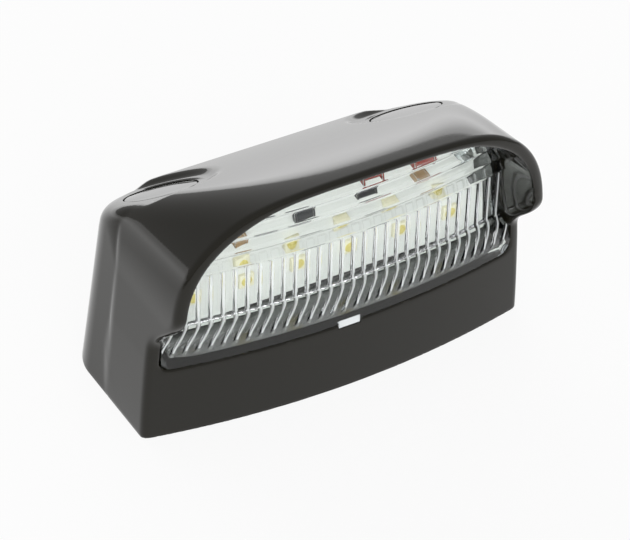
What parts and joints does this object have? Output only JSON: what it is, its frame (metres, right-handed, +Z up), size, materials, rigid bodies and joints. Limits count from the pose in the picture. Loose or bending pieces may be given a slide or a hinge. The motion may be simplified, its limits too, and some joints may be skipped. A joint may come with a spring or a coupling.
{
  "type": "number plate lamp",
  "caption": "Hooded number plate lamp: a glossy black housing with a bowed front over a clear fluted lens, a light board behind it, and capped screw wells.",
  "frame": {"origin": "midway between the two screw holes, on the base plane that is fixed to the vehicle", "axes": "+X along the lamp's length, -Y toward the light window, +Z up from the base plane"},
  "size_m": [0.09, 0.0496, 0.0628],
  "materials": {
    "housing": "polished black",
    "lens": "clear moulded plastic",
    "cap": "polished black",
    "base_plate": "matte black",
    "seal": "matte",
    "rubber": "matte",
    "board": "white solder mask",
    "led": "white body and pale yellow pool",
    "resistor": "matte black",
    "diode": "red glass",
    "capacitor": "ceramic"
  },
  "bodies": {
    "root": {"housing": "housing", "lens": "lens", "screw_cap_left": "cap", "screw_cap_right": "cap", "base_plate": "base_plate", "base_seal": "seal", "cable_grommet": "rubber", "circuit_board": "board", "led_1": "led", "led_2": "led", "led_3": "led", "led_4": "led", "led_5": "led", "led_6": "led", "resistor_1": "resistor", "resistor_2": "resistor", "resistor_3": "resistor", "resistor_4": "resistor", "diode_1": "diode", "diode_2": "diode", "capacitor_1": "capacitor", "capacitor_2": "capacitor"}
  },
  "joints": []
}
